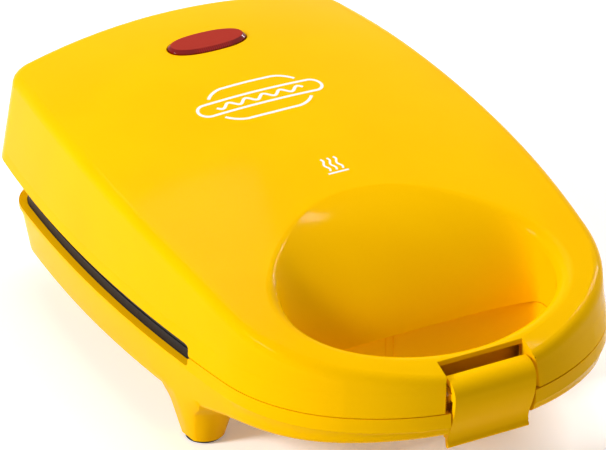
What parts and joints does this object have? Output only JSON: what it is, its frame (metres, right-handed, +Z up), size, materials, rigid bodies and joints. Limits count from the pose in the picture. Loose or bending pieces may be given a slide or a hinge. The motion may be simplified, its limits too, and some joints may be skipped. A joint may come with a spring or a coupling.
{
  "type": "hot dog toaster",
  "caption": "Clamshell electric hot dog toaster: two moulded halves hinged at the rear, troughed cooking plates, a ring grip with a finger opening, a nose clip and an oval lamp.",
  "frame": {"origin": "middle of the footprint, on the surface that the foot pads stand on", "axes": "+Z up, +Y from the nose with its clip to the hinge at the rear, +X to the right when facing the rear from the nose"},
  "size_m": [0.18, 0.2861, 0.1024],
  "materials": {
    "yellow_plastic": "gloss",
    "nonstick_plate": "satin non-stick coating on a die-cast plate",
    "screw_steel": "satin",
    "element_sheath": "heat-darkened",
    "clip_steel": "satin",
    "reflector": "bright rolled",
    "terminal_plastic": "matt",
    "gland_rubber": "matt",
    "pad_rubber": "matt",
    "pin_steel": "drawn",
    "thermostat_metal": "satin",
    "fuse_case": "satin",
    "red_lens": "textured top, clear bevel",
    "holder_plastic": "matt",
    "lamp_glass": "clear",
    "resistor_body": "matt"
  },
  "bodies": {
    "base": {"lower_shell": "yellow_plastic", "lower_cooking_plate": "nonstick_plate", "lower_plate_screws": "screw_steel", "lower_heating_element": "element_sheath", "lower_element_clips": "clip_steel", "lower_heat_shield": "reflector", "terminal_block": "terminal_plastic", "cord_gland": "gland_rubber", "foot_pads": "pad_rubber", "hinge_pins": "pin_steel"},
    "lid": {"upper_shell": "yellow_plastic", "upper_cooking_plate": "nonstick_plate", "upper_plate_screws": "screw_steel", "upper_heating_element": "element_sheath", "upper_element_clips": "clip_steel", "upper_heat_shield": "reflector", "thermostat": "thermostat_metal", "thermal_fuse": "fuse_case", "lamp_lens": "red_lens", "lamp_holder": "holder_plastic", "lamp_bulb": "lamp_glass", "lamp_resistor": "resistor_body", "latch_pin": "pin_steel"},
    "latch": {"latch_clip": "yellow_plastic"}
  },
  "joints": [
    {"name": "lid_hinge", "type": "hinge", "parent": "base", "child": "lid", "pos_m": [0, 0.12635, 0.043], "axis": [-1, 0, 0], "range_deg": [0, 100]},
    {"name": "latch_hinge", "type": "hinge", "parent": "lid", "child": "latch", "pos_m": [0, -0.13645, 0.052], "axis": [-1, 0, 0], "range_deg": [-4, 35]}
  ]
}
